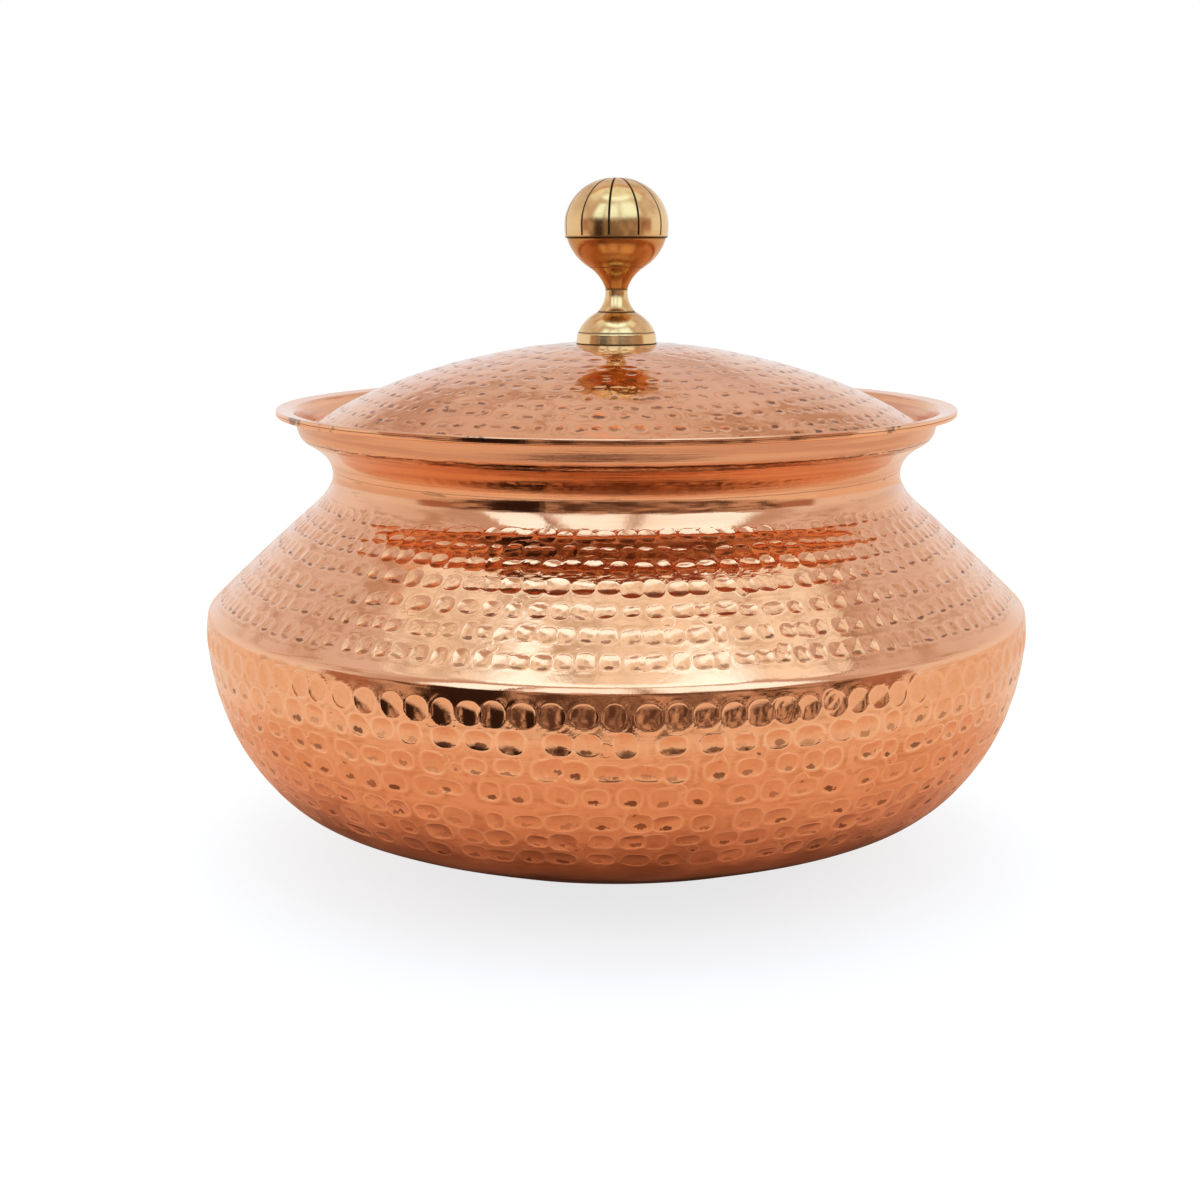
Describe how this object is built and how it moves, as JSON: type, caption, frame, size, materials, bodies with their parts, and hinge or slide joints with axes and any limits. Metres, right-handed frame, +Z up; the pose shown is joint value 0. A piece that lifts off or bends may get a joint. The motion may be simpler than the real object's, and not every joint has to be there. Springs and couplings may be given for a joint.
{
  "type": "handi pot",
  "caption": "Large hammered copper handi pot with a pear-shaped body, waisted neck, flanged rim, loose domed lid and a fluted brass ball knob.",
  "frame": {"origin": "centre of the flat base on the floor", "axes": "+Z up along the axis of the pot; the pot is round, so +X is any side, and one flute of the knob cap lies along +X"},
  "size_m": [0.97, 0.97, 0.8],
  "materials": {
    "copper": "mirror polished, hand hammered copper sheet",
    "brass": "turned and polished brass"
  },
  "bodies": {
    "root": {"pot_body": "copper", "lid": "copper", "knob_foot": "brass", "knob_spool": "brass", "knob_bulb": "brass", "knob_cap": "brass", "knob_stud": "brass", "clamp_washer": "brass", "clamp_nut": "brass"}
  },
  "joints": []
}
